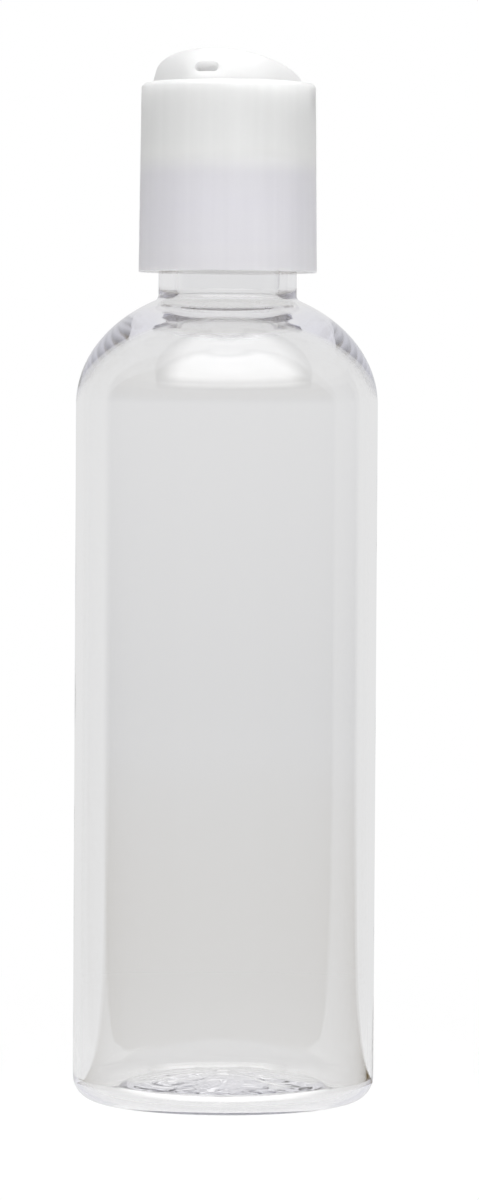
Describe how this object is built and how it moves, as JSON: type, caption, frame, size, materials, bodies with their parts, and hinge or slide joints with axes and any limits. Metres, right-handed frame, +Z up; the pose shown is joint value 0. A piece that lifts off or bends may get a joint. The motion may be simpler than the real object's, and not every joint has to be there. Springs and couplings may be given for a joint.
{
  "type": "press cap bottle",
  "caption": "Slim clear round bottle with a domed shoulder and a white screw cap, whose press-top disc tips up to show a slot spout.",
  "frame": {"origin": "on the bottle's axis in the plane of the foot ring that it stands on", "axes": "+Z up along the bottle's axis, -Y the way the spout points, X along the disc's pivot pins"},
  "size_m": [0.038, 0.038, 0.1321],
  "materials": {
    "clear_pet": "clear blown PET, smooth and glossy inside and out",
    "white_foam": "white foamed polyethylene, fine matt cells",
    "white_pp_cap": "white polypropylene, slightly see-through at the skirt, satin",
    "white_pp_disc": "white polypropylene, satin"
  },
  "bodies": {
    "bottle": {"bottle": "clear_pet"},
    "washer": {"seal_washer": "white_foam"},
    "cap": {"cap_body": "white_pp_cap"},
    "disc": {"press_disc": "white_pp_disc"}
  },
  "joints": [
    {"name": "cap_lift", "type": "slide", "parent": "bottle", "child": "washer", "axis": [0, 0, 1], "range_m": [0, 0.0191]},
    {"name": "cap_turn", "type": "hinge", "parent": "washer", "child": "cap", "pos_m": [0, 0, 0.1119], "axis": [0, 0, 1], "range_deg": [0, 2160]},
    {"name": "disc_tilt", "type": "hinge", "parent": "cap", "child": "disc", "pos_m": [0, 0.00085, 0.1262], "axis": [1, 0, 0], "range_deg": [0, 24]}
  ],
  "couplings": [
    {"joint": "cap_lift", "follows": "cap_turn", "m_per_rad": 0.00050532}
  ]
}
